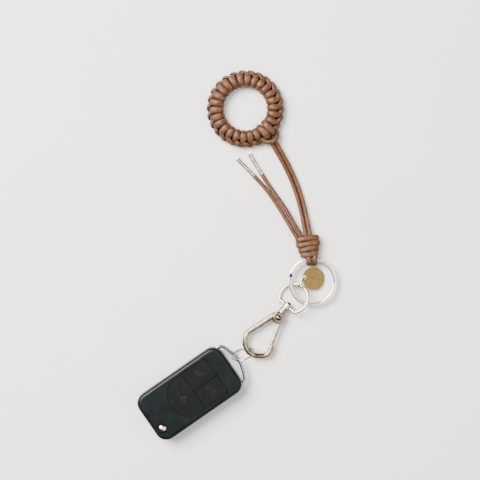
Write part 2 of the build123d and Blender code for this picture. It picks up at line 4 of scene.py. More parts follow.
import bpy
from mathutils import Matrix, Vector


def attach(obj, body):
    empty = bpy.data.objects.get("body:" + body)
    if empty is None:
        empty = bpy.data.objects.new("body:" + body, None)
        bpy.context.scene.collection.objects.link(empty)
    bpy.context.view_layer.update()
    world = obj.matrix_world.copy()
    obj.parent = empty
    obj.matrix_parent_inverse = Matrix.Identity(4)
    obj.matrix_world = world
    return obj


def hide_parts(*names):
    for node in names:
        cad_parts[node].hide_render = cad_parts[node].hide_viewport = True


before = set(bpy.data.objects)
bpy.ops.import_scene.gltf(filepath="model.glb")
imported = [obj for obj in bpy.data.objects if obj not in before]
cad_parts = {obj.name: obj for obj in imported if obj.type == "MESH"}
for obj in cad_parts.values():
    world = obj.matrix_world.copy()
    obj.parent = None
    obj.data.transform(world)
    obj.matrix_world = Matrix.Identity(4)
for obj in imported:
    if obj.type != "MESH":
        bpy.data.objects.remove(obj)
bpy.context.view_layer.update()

MM = 0.001

# Places shared with the CAD model, in millimetres and degrees.
LINK_Z = 4.9
LOOP_CENTRE = Vector((5.7, 104.5, LINK_Z))
CORE_RADIUS = 19.35
HITCH_TURN = -45.7
HITCH_SPAN = 27.7
KNOT_TOP = Vector((50.05, 13.0, LINK_Z))
KNOT_BOTTOM = Vector((52.0, -2.1, LINK_Z))
CORD_D = 3.0
SPLIT_CENTRE = Vector((54.08, -20.13, LINK_Z))
SPLIT_MIDDLE_R = 16.2
SPLIT_BAND = 2.6
SPLIT_COIL = 1.05
SPLIT_SLIT = 0.06
SPLIT_STEP = 167.0
EYE_TURNS = {"ring_eye_left": 99.5, "ring_eye_right": 84.5}
FOB_CENTRE = Vector((-34.3, -99.8, 0.0))
FOB_TURN = 34.7
KEY_PIVOT = (-30.0, -9.2)
HOOK_PIVOT = Vector((29.4, -45.8, LINK_Z))
BUTTON_TOP = 15.5

UP = Vector((0, 0, 1))

ROUTES = {
    "standing_cord_left": (
        (24.8, 79.3, 4.9), (31.8, 67.5, 3.4), (38.2, 54.8, 2.2),
        (43.3, 41.1, 2.0), (46.7, 26.7, 3.2), (49.5, 11.7, 4.9),
    ),
    "standing_cord_right": (
        (27.5, 80.9, 4.9), (34.6, 68.9, 3.4), (41.0, 56.0, 2.2),
        (46.3, 42.1, 2.0), (49.7, 27.3, 3.2), (52.6, 12.3, 4.9),
    ),
    "tail_cord_left": (
        (42.7, 11.7, 4.9), (37.2, 21.0, 4.3), (31.8, 30.4, 3.3),
        (25.8, 39.5, 2.4), (18.7, 49.4, 1.85), (10.74, 57.56, 1.85),
    ),
    "tail_cord_right": (
        (46.1, 12.5, 4.9), (40.4, 22.2, 4.3), (34.7, 32.4, 3.3),
        (29.0, 40.7, 2.4), (22.2, 50.1, 1.85), (16.7, 59.0, 1.85),
    ),
}


# ---- Node materials -----------------------------------------------------------------------
class Shader:
    """A node material: makes nodes, links them and ends in one Principled shader."""

    def __init__(self, name):
        self.material = bpy.data.materials.new(name)
        self.material.use_nodes = True
        self.nodes = self.material.node_tree.nodes
        self.links = self.material.node_tree.links
        self.shader = self.nodes["Principled BSDF"]
        self.place = self.nodes.new("ShaderNodeTexCoord").outputs["Object"]

    def set(self, socket, value):
        """A value that is the same all over the surface."""
        self.shader.inputs[socket].default_value = value

    def join(self, output, socket):
        """Drives one of the shader's own sockets."""
        self.links.new(output, self.shader.inputs[socket])

    def feed(self, socket, value):
        """Gives a node's socket a number, a colour or another node's output."""
        if isinstance(value, (int, float)):
            socket.default_value = value
        elif isinstance(value, tuple):
            socket.default_value = (*value, 1.0)
        else:
            self.links.new(value, socket)

    def stretched(self, scale):
        """Object coordinates, scaled unevenly."""
        node = self.nodes.new("ShaderNodeMapping")
        node.inputs["Scale"].default_value = scale
        self.links.new(self.place, node.inputs["Vector"])
        return node.outputs["Vector"]

    def noise(self, scale, detail=3.0, stretch=None, distortion=0.0):
        node = self.nodes.new("ShaderNodeTexNoise")
        node.inputs["Scale"].default_value = scale
        node.inputs["Detail"].default_value = detail
        node.inputs["Distortion"].default_value = distortion
        place = self.stretched(stretch) if stretch else self.place
        self.links.new(place, node.inputs["Vector"])
        return node.outputs["Fac"]

    def voronoi(self, scale):
        node = self.nodes.new("ShaderNodeTexVoronoi")
        node.inputs["Scale"].default_value = scale
        self.links.new(self.place, node.inputs["Vector"])
        return node.outputs["Distance"]

    def ramp(self, value, stops):
        node = self.nodes.new("ShaderNodeValToRGB")
        set_stops(node.color_ramp, stops)
        self.links.new(value, node.inputs["Fac"])
        return node.outputs["Color"]

    def between(self, value, low, high, start=0.0, end=1.0):
        """Maps start to end on to low to high."""
        node = self.nodes.new("ShaderNodeMapRange")
        node.inputs["From Min"].default_value = start
        node.inputs["From Max"].default_value = end
        node.inputs["To Min"].default_value = low
        node.inputs["To Max"].default_value = high
        self.links.new(value, node.inputs["Value"])
        return node.outputs["Result"]

    def total(self, first, second):
        node = self.nodes.new("ShaderNodeMath")
        node.operation = "ADD"
        self.feed(node.inputs[0], first)
        self.feed(node.inputs[1], second)
        return node.outputs["Value"]

    def mix(self, factor, first, second):
        """Mixes two colours. The node's sockets share their names, so they are picked by number."""
        node = self.nodes.new("ShaderNodeMix")
        node.data_type = "RGBA"
        self.feed(node.inputs[0], factor)
        self.feed(node.inputs[6], first)
        self.feed(node.inputs[7], second)
        return node.outputs[2]

    def attribute(self, name):
        node = self.nodes.new("ShaderNodeAttribute")
        node.attribute_name = name
        return node.outputs["Fac"]

    def bump(self, height, distance, strength=1.0, under=None):
        node = self.nodes.new("ShaderNodeBump")
        node.inputs["Distance"].default_value = distance
        node.inputs["Strength"].default_value = strength
        self.links.new(height, node.inputs["Height"])
        if under is not None:
            self.links.new(under, node.inputs["Normal"])
        return node.outputs["Normal"]


def set_stops(colour_ramp, stops):
    """Puts these stops, each a position and a colour, on a colour ramp."""
    while len(colour_ramp.elements) < len(stops):
        colour_ramp.elements.new(0.5)
    for element, (at, colour) in zip(colour_ramp.elements, stops):
        element.position = at
        element.color = (*colour, 1.0)


def leather(name, dark, middle, light, grain_and_edge_shade):
    """Waxed cord: blotchy tone, darker wrinkles, fine grain, and painted shade towards its side edges, where
    the cord turns away and meets the next turn.
    """
    s = Shader(name)
    blotch = s.noise(420.0, 4.0, distortion=0.4)
    tone = s.ramp(blotch, ((0.30, dark), (0.50, middle), (0.70, light)))
    crease = s.noise(1300.0, 4.0, distortion=1.6)
    tone = s.mix(s.between(crease, 0.0, 0.32, 0.50, 0.36), tone, dark)
    # Fine grain: dark flecks in the same colour as the painted edge shade.
    grain = s.noise(5200.0, 3.0)
    tone = s.mix(s.between(grain, 0.0, 0.14, 0.45, 0.70), tone, grain_and_edge_shade)
    # Painted shade: darker towards the cord's side edges, where it turns away and meets the next turn.
    painted_edge_shade = s.between(s.attribute("grain_and_edge_shade"), 0.0, 0.92, 0.45, 1.0)
    s.join(s.mix(painted_edge_shade, tone, grain_and_edge_shade), "Base Color")
    s.join(s.between(blotch, 0.50, 0.34, 0.3, 0.7), "Roughness")
    wrinkles = s.bump(crease, 0.00020, 0.6)
    pores = s.bump(s.voronoi(3600.0), 0.00008, 0.5, wrinkles)
    s.join(pores, "Normal")
    s.set("Specular IOR Level", 0.32)
    return s.material


def metal(name, colour, shade, roughness, spread=0.06, bumps=0.00002, grain=2600.0):
    """Plated or polished metal: light handling marks, cloudy roughness and a faint waviness."""
    s = Shader(name)
    cloud = s.noise(330.0, 4.0)
    s.join(s.ramp(cloud, ((0.35, shade), (0.62, colour))), "Base Color")
    marks = s.noise(grain, 4.0, stretch=(1.0, 0.12, 1.0), distortion=0.3)
    smear = s.total(s.between(cloud, 0.0, spread, 0.35, 0.7), s.between(marks, 0.0, spread, 0.5, 0.8))
    s.join(s.total(smear, roughness), "Roughness")
    waviness = s.bump(s.noise(260.0, 2.0), bumps * 6.0, 0.35)
    s.join(s.bump(marks, bumps, 0.4, waviness), "Normal")
    s.set("Metallic", 1.0)
    return s.material


def plastic(name, dark, light, roughness, grain=5200.0, depth=0.00004, specular=0.22):
    """Moulded plastic with a fine spark-eroded texture."""
    s = Shader(name)
    cloud = s.noise(150.0, 4.0)
    s.join(s.ramp(cloud, ((0.35, dark), (0.68, light))), "Base Color")
    texture = s.noise(grain, 3.0)
    s.join(s.between(texture, roughness - 0.06, roughness + 0.08, 0.35, 0.7), "Roughness")
    s.join(s.bump(texture, depth, 0.5), "Normal")
    s.set("Specular IOR Level", specular)
    return s.material


# ---- Shapes -------------------------------------------------------------------------------
# A shape is three lists, in millimetres: vertices, faces, and each vertex's weight of painted shade, highest
# at a cord's side edges.
CORD_SIDES = 18
CORD_SQUARENESS = 2.15  # 2 is an ellipse, and more is squarer
SPAN_STEPS = 4  # samples between two control points


def new_piece(name, shape, material, body):
    """A mesh object of a shape, riding on a body."""
    vertices, faces, edge_shade_weights = shape
    mesh = bpy.data.meshes.new(name)
    mesh.from_pydata([tuple(v * MM for v in vertex) for vertex in vertices], [], faces)
    mesh.update()
    for polygon in mesh.polygons:
        polygon.use_smooth = True
    # Painted shade weights, read by the leather finishes to darken a cord's side edges.
    layer = mesh.attributes.new("grain_and_edge_shade", "FLOAT", "POINT")
    layer.data.foreach_set("value", edge_shade_weights)
    mesh.materials.append(material)
    piece = bpy.data.objects.new(name, mesh)
    bpy.context.scene.collection.objects.link(piece)
    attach(piece, body)
    return piece


def direction(turn):
    """Level unit vector at this many degrees from +X."""
    angle = math.radians(turn)
    return Vector((math.cos(angle), math.sin(angle), 0))


def squared(value, power):
    """A cosine or sine pushed out towards the corners of a rounded square."""
    return math.copysign(abs(value) ** power, value)


def ease(value, start, end):
    """0 up to start, 1 from end on, and smooth between them."""
    share = min(max((value - start) / (end - start), 0.0), 1.0)
    return share * share * (3 - 2 * share)


def curve_through(points, steps=SPAN_STEPS):
    """Catmull-Rom samples through tuples of any length, this many to each span."""
    padded = (points[0], *points, points[-1])
    samples = []
    for index in range(len(points) - 1):
        for step in range(steps):
            t = step / steps
            samples.append(tuple(
                0.5 * (2 * b + (c - a) * t + (2 * a - 5 * b + 4 * c - d) * t * t
                       + (3 * b - a - 3 * c + d) * t ** 3)
                for a, b, c, d in zip(*padded[index:index + 4])
            ))
    samples.append(tuple(points[-1]))
    return samples


def band(stations, closed=False, squareness=CORD_SQUARENESS, sides=CORD_SIDES):
    """Flattened cord through stations, each its centre, outward direction, width and thickness."""
    vertices, faces, edge_shade_weights = [], [], []
    count = len(stations)
    for index, (centre, outward, width, thickness) in enumerate(stations):
        if closed:
            ahead = stations[(index + 1) % count][0] - stations[index - 1][0]
        else:
            ahead = stations[min(index + 1, count - 1)][0] - stations[max(index - 1, 0)][0]
        ahead.normalize()
        side = ahead.cross(outward).normalized()
        top = side.cross(ahead).normalized()
        for corner in range(sides):
            turn = 2 * math.pi * corner / sides
            across = squared(math.cos(turn), 2 / squareness) * width / 2
            over = squared(math.sin(turn), 2 / squareness) * thickness / 2
            vertices.append(centre + side * across + top * over)
            # Painted shade weight: 1 at the cord's side edges, down to 0 over its top and underside.
            edge_shade_weights.append(abs(math.cos(turn)) ** 3)
    spans = count if closed else count - 1
    for index in range(spans):
        first, second = index * sides, ((index + 1) % count) * sides
        for corner in range(sides):
            after = (corner + 1) % sides
            faces.append((first + corner, first + after, second + after, second + corner))
    if not closed:
        faces.append(tuple(reversed(range(sides))))
        faces.append(tuple(range((count - 1) * sides, count * sides)))
    return vertices, faces, edge_shade_weights


def rounded(stations, length, tip=0.12):
    """Draws a band's two ends in to a round end over this length, down to a share of its size."""
    travelled = [0.0]
    for before, after in zip(stations, stations[1:]):
        travelled.append(travelled[-1] + (after[0] - before[0]).length)
    shaped = []
    for place, (centre, outward, width, thickness) in zip(travelled, stations):
        reach = min(place, travelled[-1] - place, length) / length
        scale = max(tip, math.sqrt(max(0.0, 1 - (1 - reach) ** 2)))
        shaped.append((centre, outward, width * scale, thickness * scale))
    return shaped


def merged(shapes):
    """Several shapes as one."""
    vertices, faces, edge_shade_weights = [], [], []
    for part_vertices, part_faces, part_edge_shade_weights in shapes:
        start = len(vertices)
        vertices += part_vertices
        faces += [tuple(start + corner for corner in face) for face in part_faces]
        edge_shade_weights += part_edge_shade_weights
    return vertices, faces, edge_shade_weights


def lathed(profile, centre, sides=32):
    """A profile turned round an upright axis: radius and height from the centre."""
    vertices, faces, rows = [], [], []
    for radius, height in profile:
        rows.append(len(vertices))
        for step in range(sides if radius > 0 else 1):
            turn = 2 * math.pi * step / sides
            vertices.append(centre + Vector((radius * math.cos(turn), radius * math.sin(turn), height)))
    for index in range(len(profile) - 1):
        first, second = rows[index], rows[index + 1]
        for step in range(sides):
            after = (step + 1) % sides
            if profile[index][0] == 0:
                faces.append((first, second + step, second + after))
            elif profile[index + 1][0] == 0:
                faces.append((first + step, second, first + after))
            else:
                faces.append((first + step, second + step, second + after, first + after))
    return vertices, faces, [0.0] * len(vertices)


# ---- Braid --------------------------------------------------------------------------------
WRAPS = 24
WRAP_LEAN = 0.7  # degrees, either way, for each LEAN_OVER out from LEAN_FROM
LEAN_FROM = 19.0
LEAN_OVER = 5.0
WRAP_SWELL = (0.97, 1.03)
WRAP_END = 1.6
RIDGE_LEAD = 1.0  # degrees that a strand starts ahead of its gap between two wraps
RIDGE_SWELL = (0.96, 1.04)
RIDGE_END = 1.5
RIDGE_CORE = (24.0, -0.4)  # radius and height that the ridge's strands face away from
# Control points of a wrap, in the ring's section: radius, height, width, thickness.
WRAP_OUT = (
    (23.4, -2.7, 3.8, 2.2), (21.4, -3.3, 4.8, 2.6), (18.8, -3.5, 4.6, 2.6), (16.9, -2.5, 4.2, 2.5),
    (16.4, 0.0, 4.15, 2.4), (16.9, 2.4, 4.25, 2.5), (18.9, 3.6, 4.8, 2.9), (21.4, 3.7, 5.3, 3.1),
    (24.0, 2.8, 5.4, 3.0), (25.9, 1.0, 4.4, 2.7),
)
WRAP_IN = (
    (23.4, -2.7, 3.8, 2.2), (21.4, -3.3, 4.8, 2.6), (18.8, -3.5, 4.6, 2.6), (16.9, -2.5, 4.2, 2.5),
    (16.4, 0.0, 4.15, 2.4), (16.9, 2.4, 4.25, 2.5), (18.9, 3.65, 4.8, 2.9), (21.3, 3.6, 5.1, 3.0),
    (23.5, 2.9, 4.3, 2.6), (25.3, 1.7, 1.8, 1.6),
)
# The same for a ridge strand: radius, height, degrees along the ring, width, thickness.
RIDGE_SHOWN = (
    (22.6, 0.6, -10.5, 2.6, 1.9), (24.2, 1.7, -6.0, 3.7, 2.4), (25.9, 1.6, 0.5, 3.9, 2.5),
    (26.95, 0.0, 6.0, 3.9, 2.4), (26.6, -1.8, 7.0, 3.8, 2.2), (24.6, -2.8, 4.0, 3.6, 2.0),
    (22.4, -2.9, -1.0, 3.0, 1.8),
)
RIDGE_UNDER = (
    (22.9, -0.6, -8.0, 2.8, 1.9), (24.6, 0.3, -4.5, 3.9, 2.3), (26.3, 0.1, 0.5, 4.4, 2.4),
    (27.0, -1.2, 4.5, 4.5, 2.4), (26.2, -2.4, 5.0, 4.4, 2.2), (24.4, -2.8, 2.0, 3.6, 2.0),
    (22.4, -2.9, -2.0, 3.0, 1.8),
)
# Degrees round the ring where the ridge goes under the wraps' ends, and where it comes out again.
RIDGE_HIDES = (60, 100)
RIDGE_RETURNS = (205, 245)


def on_loop(radius, height, turn):
    """Point of the finger loop, from its centre."""
    return LOOP_CENTRE + direction(turn) * radius + UP * height


def ridge_shows(turn):
    """1 where the braid's ridge shows beside the wraps, 0 where it lies under their ends."""
    turn %= 360
    return 1 - ease(turn, *RIDGE_HIDES) + ease(turn, *RIDGE_RETURNS)


def blended(first, second, weight):
    """Control points between two sets."""
    return [tuple(a + (b - a) * weight for a, b in zip(p, q)) for p, q in zip(first, second)]


def wrap(turn, jitter):
    """One turn of cord over the steel ring."""
    section = blended(WRAP_OUT, WRAP_IN, ridge_shows(turn))
    lean = jitter.uniform(-WRAP_LEAN, WRAP_LEAN)
    swell = jitter.uniform(*WRAP_SWELL)
    stations = []
    for radius, height, width, thickness in curve_through(section):
        slant = lean * (radius - LEAN_FROM) / LEAN_OVER
        centre = on_loop(radius, height, turn + slant)
        outward = centre - on_loop(CORE_RADIUS, 0.0, turn + slant)
        stations.append((centre, outward, width * swell, thickness))
    return band(rounded(stations, WRAP_END))


def ridge(turn, jitter):
    """One slanted strand of the ridge round the ring."""
    section = blended(RIDGE_UNDER, RIDGE_SHOWN, ridge_shows(turn))
    swell = jitter.uniform(*RIDGE_SWELL)
    stations = []
    for radius, height, along, width, thickness in curve_through(section):
        centre = on_loop(radius, height, turn + along)
        outward = centre - on_loop(*RIDGE_CORE, turn + along * 0.5)
        stations.append((centre, outward, width * swell, thickness))
    return band(rounded(stations, RIDGE_END))


def build_braid(material):
    """The cord cover: wraps and their ridge, all the way round to the hitch."""
    jitter = random.Random(7)
    pitch = (360 - HITCH_SPAN) / WRAPS
    start = HITCH_TURN + HITCH_SPAN / 2
    strands = [wrap(start + pitch * (index + 0.5), jitter) for index in range(WRAPS)]
    strands += [ridge(start + pitch * index - RIDGE_LEAD, jitter) for index in range(WRAPS + 1)]
    cover = new_piece("braid_wraps", merged(strands), material, "finger_loop")
    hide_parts("braid_cover")


# ---- Hitch --------------------------------------------------------------------------------
# The two wide turns over the ring: place across the hitch's middle, and the drift across for each
# DRIFT_OVER out from DRIFT_FROM.
HITCH_TURNS = ((-2.5, 0.1), (2.5, -0.5))
DRIFT_FROM = 19.0
DRIFT_OVER = 7.0
HITCH_END = 1.8
# Control points of a wide turn: out from the loop's centre, height, width, thickness.
HITCH_WRAP = (
    (23.8, -2.9, 3.6, 2.2), (21.4, -3.4, 4.8, 2.5), (18.8, -3.5, 4.8, 2.5), (16.6, -2.5, 4.7, 2.5),
    (15.6, 0.2, 4.6, 2.6), (16.2, 3.1, 4.8, 2.8), (18.9, 4.7, 5.1, 3.1), (22.0, 4.8, 5.2, 3.2),
    (25.0, 4.1, 4.9, 3.0), (27.8, 2.6, 2.6, 2.2),
)
# The bight that lies across the cords, the middle that it goes round, and its width and thickness.
HITCH_BIGHT = (
    (13.6, 86.8, 1.8), (15.6, 84.2, 3.6), (18.6, 81.6, 5.2), (22.4, 80.4, 6.8), (25.8, 81.3, 7.2),
    (27.9, 83.8, 6.6), (28.4, 87.0, 5.2), (26.8, 90.0, 3.4),
)
BIGHT_MIDDLE = Vector((22.3, 90.0, 1.0))
BIGHT_SECTION = (4.4, 3.9)
BIGHT_STEPS = 5
# The start of each standing cord, and a strand that fills the gap between them.
HITCH_LEGS = (
    ((20.6, 86.6, 3.6), (22.3, 83.6, 4.6), (24.3, 80.3, 4.9), (25.1, 78.8, 4.85)),
    ((24.6, 87.0, 3.6), (25.6, 84.4, 4.6), (27.1, 81.6, 4.9), (27.9, 80.2, 4.85)),
    ((22.6, 87.2, 2.5), (23.9, 84.6, 3.2), (25.3, 82.2, 3.5), (26.3, 80.6, 3.7)),
)
LEG_D = 2.96  # a little under the cord, so that the two don't share a surface


def on_hitch(along, height, across):
    """Point of the hitch: out along its direction from the loop's centre, and across it."""
    out = direction(HITCH_TURN)
    return LOOP_CENTRE + out * along + UP.cross(out) * across + UP * height


def build_hitch(material):
    """Two wide turns over the ring, the bight across the cords and the cords' start."""
    strands = []
    for offset, drift in HITCH_TURNS:
        stations = []
        for along, height, width, thickness in curve_through(HITCH_WRAP):
            across = offset + drift * (along - DRIFT_FROM) / DRIFT_OVER
            centre = on_hitch(along, height, across)
            outward = centre - on_hitch(CORE_RADIUS, 0.0, across)
            stations.append((centre, outward, width, thickness))
        strands.append(band(rounded(stations, HITCH_END)))
    stations = []
    for place in curve_through(HITCH_BIGHT, BIGHT_STEPS):
        centre = Vector(place)
        stations.append((centre, centre - BIGHT_MIDDLE, *BIGHT_SECTION))
    strands.append(band(rounded(stations, HITCH_END)))
    for leg in HITCH_LEGS:
        stations = [(Vector(place), UP, LEG_D, LEG_D) for place in curve_through(leg)]
        strands.append(band(stations, squareness=2.0))
    hitch = new_piece("hitch_turns", merged(strands), material, "finger_loop")
    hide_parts("lanyard_hitch")


# ---- Knot ---------------------------------------------------------------------------------
# Each coil: share of the way down the knot, width, height, and its lean in degrees.
KNOT_COILS = ((0.13, 17.4, 8.4, 3.5), (0.38, 17.9, 9.0, 4.5), (0.63, 15.6, 9.2, 5.5), (0.87, 13.6, 9.3, 4.0))
COIL_SECTION = (4.35, 2.9)
COIL_INSET = 1.35  # from a coil's outside to the middle of its cord
COIL_STEPS = 56
COIL_SQUARENESS = 0.72  # 1 is an ellipse, and less is squarer
COIL_WANDER = 0.18
COIL_LEAN_SHARE = 0.35
# The strands inside: place across the knot, and height.
KNOT_STRANDS = ((-3.4, -1.6), (-1.2, 1.7), (1.4, -1.6), (3.4, 1.5))
STRAND_SECTION = (3.6, 3.4)
STRAND_SPAN = (0.03, 0.9)
STRAND_TAPER = 0.25
STRAND_STEPS = 8


def coil(middle, width, height, tilt, down, across, phase):
    """One turn of flat cord round the knot, a rounded rectangle in section."""
    half_width, half_height = width / 2 - COIL_INSET, height / 2 - COIL_INSET
    slope = math.tan(math.radians(tilt))
    stations = []
    for step in range(COIL_STEPS):
        turn = 2 * math.pi * step / COIL_STEPS
        sine = math.sin(turn)
        x = squared(math.cos(turn), COIL_SQUARENESS) * half_width
        z = squared(sine, COIL_SQUARENESS) * half_height
        wander = COIL_WANDER * math.sin(2 * turn + phase)
        lean = x * slope * (1 if sine >= 0 else -1) * min(1, abs(sine) * 3)
        centre = middle + across * x + UP * z + down * (wander - lean * COIL_LEAN_SHARE)
        outward = across * x / half_width ** 2 + UP * (z / half_height ** 2)
        stations.append((centre, outward, *COIL_SECTION))
    return band(stations, closed=True)


def build_knot(material):
    """Four turns of flat cord round the gathered strands."""
    length = KNOT_BOTTOM - KNOT_TOP
    down = length.normalized()
    across = UP.cross(down).normalized()
    jitter = random.Random(3)
    shapes = []
    for share, width, height, tilt in KNOT_COILS:
        phase = jitter.uniform(0, 6.28)
        shapes.append(coil(KNOT_TOP + length * share, width, height, tilt, down, across, phase))
    for offset, lift in KNOT_STRANDS:
        stations = []
        for step in range(STRAND_STEPS + 1):
            share = step / STRAND_STEPS
            spread = offset * (1.0 - STRAND_TAPER * share)
            along = STRAND_SPAN[0] + STRAND_SPAN[1] * share
            centre = KNOT_TOP + length * along + across * spread + UP * lift
            stations.append((centre, UP, *STRAND_SECTION))
        shapes.append(band(stations))
    knot = new_piece("knot_turns", merged(shapes), material, "lanyard")
    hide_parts("gathering_knot")


# Control points of a cord eye, from the middle of the split ring's band: out, height, width, thickness.
EYE_SHAPE = (
    (5.2, 1.6, 3.0, 2.8), (2.6, 2.6, 3.4, 2.8), (0.2, 3.2, 4.0, 2.7), (-2.2, 2.5, 4.3, 2.6),
    (-3.3, 0.0, 4.4, 2.6), (-2.2, -2.5, 4.3, 2.6), (0.2, -3.2, 4.0, 2.7), (2.6, -2.6, 3.4, 2.8),
    (5.2, -1.6, 3.0, 2.8),
)


def build_eye(name, turn, material):
    """Flattened cord bent round the split ring, with both legs up in the knot."""
    out = direction(turn)
    middle = SPLIT_CENTRE + out * SPLIT_MIDDLE_R
    stations = []
    for along, height, width, thickness in curve_through(EYE_SHAPE):
        centre = middle + out * along + UP * height
        outward = out * min(along, 0) + UP * height
        stations.append((centre, outward, width, thickness))
    piece = new_piece(name + "_turn", band(stations), material, "lanyard")
    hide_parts(name)


# ---- Split ring ---------------------------------------------------------------------------
RING_LEAD = 4.0  # degrees from the step to the wire's upper end
RING_PITCH = 3.0  # degrees between stations
RING_END = 710.0  # degrees that the wire goes round
RING_CROSSING = (347.0, 357.0)  # where it steps down from the upper turn to the lower


def build_split_ring(material):
    """Flat wire with rounded edges, wound twice, with the step between its turns."""
    rise = (SPLIT_COIL + SPLIT_SLIT) / 2
    stations = []
    for step in range(math.ceil(RING_END / RING_PITCH) + 1):
        along = RING_PITCH * step
        height = rise * (1 - 2 * ease(along, *RING_CROSSING))
        out = direction(SPLIT_STEP + RING_LEAD + min(along, RING_END))
        centre = SPLIT_CENTRE + out * SPLIT_MIDDLE_R + UP * height
        stations.append((centre, UP, SPLIT_BAND, SPLIT_COIL))
    wire = band(stations, squareness=3.0, sides=28)
    piece = new_piece("split_ring_wire", wire, material, "split_ring")
    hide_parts("split_ring")


# ---- Gate and rivet -----------------------------------------------------------------------
GATE_LINE = ((29.4, -45.8), (29.7, -47.1), (30.4, -49.7), (28.6, -54.6), (26.8, -59.4), (25.4, -63.1),
             (24.0, -66.9))
GATE_BAR = 2.75
GATE_END = 1.3
# Radius and height from the hook's middle plane, down one dome and along to the other.
RIVET_PROFILE = ((0.0, 3.75), (0.55, 3.70), (1.05, 3.52), (1.5, 3.22), (1.8, 2.95), (1.0, 2.92),
                 (1.0, 0.0), (1.0, -2.92), (1.8, -2.95), (1.5, -3.22), (1.05, -3.52), (0.55, -3.70),
                 (0.0, -3.75))


def build_gate(material):
    """Gate with rounded edges, and the domed rivet that it turns on."""
    stations = [(Vector((x, y, LINK_Z)), UP, GATE_BAR, GATE_BAR) for x, y in curve_through(GATE_LINE)]
    bar = band(rounded(stations, GATE_END), squareness=2.9, sides=24)
    gate = new_piece("gate_bar", bar, material, "gate")
    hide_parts("hook_gate")
    domes = lathed(RIVET_PROFILE, HOOK_PIVOT)
    rivet = new_piece("gate_rivet_domes", domes, material, "hook")
    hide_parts("gate_rivet")


# ---- Release button and icons on the fob --------------------------------------------------
# Radius and height of the release button, from its dome down.
RELEASE_PROFILE = ((0.0, 15.60), (0.9, 15.51), (1.8, 15.23), (2.6, 14.79), (3.1, 14.40), (3.42, 14.08),
                   (3.5, 13.9), (3.5, 10.95), (0.0, 10.95))
ICON_SECTION = (0.42, 0.24)
# Each icon: its button, its middle on the fob, and its plain outlines, drawn upright about that middle.
ICONS = {
    "button_large": ("fob_button_large", (-5.0, -0.7), (
        ((-1.6, -1.9), (1.6, -1.9), (1.6, 0.5), (-1.6, 0.5), (-1.6, -1.9)),
        ((-1.1, 0.5), (-1.1, 1.5), (-0.5, 2.2), (0.5, 2.2), (1.1, 1.5), (1.1, 0.5)),
    )),
    "button_top": ("fob_button_top", (14.0, 8.6), (
        ((-1.6, -1.9), (1.6, -1.9), (1.6, 0.5), (-1.6, 0.5), (-1.6, -1.9)),
        ((1.1, 0.5), (1.1, 1.5), (1.6, 2.2), (2.5, 2.2), (3.0, 1.5), (3.0, 0.9)),
    )),
    "button_right": ("fob_button_right", (14.0, -6.4), (
        ((-2.8, -1.4), (-2.8, 0.1), (-1.6, 0.4), (-0.7, 1.5), (0.9, 1.5), (1.8, 0.4), (2.8, 0.1),
         (2.8, -1.4), (-2.8, -1.4)),
        ((1.2, 1.9), (2.2, 2.6), (3.0, 1.7)),
    )),
}


def on_fob(x, y, height):
    """Point of the fob: along it, across it and up from the table."""
    along = direction(FOB_TURN)
    return FOB_CENTRE + along * x + UP.cross(along) * y + UP * height


def build_release(material):
    """Domed release button."""
    dome = lathed(RELEASE_PROFILE, on_fob(*KEY_PIVOT, 0.0), sides=40)
    button = new_piece("release_dome", dome, material, "fob_release")
    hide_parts("fob_release_button")


def build_icons(material):
    """Faint raised outlines on the three buttons: closed padlock, open padlock and boot lid."""
    for name, (body, (x, y), lines) in ICONS.items():
        strokes = []
        for line in lines:
            places = [on_fob(x + rise, y - side, BUTTON_TOP) for side, rise in line]
            for start, end in zip(places, places[1:]):
                stations = [(start.lerp(end, step / 3), UP, *ICON_SECTION) for step in range(4)]
                strokes.append(band(stations, squareness=2.6, sides=12))
        new_piece("icon_" + name, merged(strokes), material, body)


def build_cord(name, material):
    """A free cord on its route, as a smooth spline with a round section."""
    curve = bpy.data.curves.new(name + "_line", "CURVE")
    curve.dimensions = "3D"
    curve.bevel_depth = CORD_D / 2 * MM
    curve.bevel_resolution = 5
    curve.resolution_u = 16
    curve.use_fill_caps = True
    route = [tuple(v * MM for v in place) for place in ROUTES[name]]
    spline = curve.splines.new("NURBS")
    spline.points.add(len(route) - 1)
    for point, place in zip(spline.points, route):
        point.co = (*place, 1.0)
    spline.order_u = 3
    spline.use_endpoint_u = True
    curve.materials.append(material)
    piece = bpy.data.objects.new(name + "_line", curve)
    bpy.context.scene.collection.objects.link(piece)
    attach(piece, "lanyard")
    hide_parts(name)


# ---- Finishes -----------------------------------------------------------------------------
METALS = {
    # Colour, shade, roughness.
    "bright_steel": ((0.93, 0.92, 0.90), (0.80, 0.79, 0.77), 0.07),
    "core_steel": ((0.86, 0.84, 0.80), (0.62, 0.60, 0.57), 0.16),
    "pale_nickel": ((0.62, 0.50, 0.36), (0.44, 0.34, 0.235), 0.10),
    "hook_nickel": ((0.35, 0.270, 0.190), (0.18, 0.138, 0.095), 0.12),
    "cap_nickel": ((0.84, 0.77, 0.66), (0.66, 0.60, 0.51), 0.20),
    "link_steel": ((0.50, 0.47, 0.43), (0.32, 0.30, 0.28), 0.10),
    "dark_chrome": ((0.44, 0.45, 0.50), (0.26, 0.27, 0.31), 0.08),
    "blade_steel": ((0.78, 0.78, 0.77), (0.62, 0.62, 0.61), 0.20),
    "spring_steel": ((0.60, 0.58, 0.55), (0.42, 0.40, 0.38), 0.22),
    "hub_alloy": ((0.38, 0.38, 0.38), (0.24, 0.24, 0.25), 0.34),
    "polished_release": ((0.82, 0.71, 0.62), (0.60, 0.50, 0.42), 0.10),
    "cell_steel": ((0.74, 0.74, 0.73), (0.60, 0.60, 0.60), 0.24),
}
PLASTICS = {
    # Dark tone, light tone, roughness.
    "icon_print": ((0.0045, 0.0050, 0.0055), (0.0085, 0.0095, 0.0100), 0.40),
    "board_green": ((0.012, 0.070, 0.030), (0.026, 0.110, 0.050), 0.42),
    "chip_glass": ((0.030, 0.030, 0.032), (0.060, 0.060, 0.064), 0.20),
}
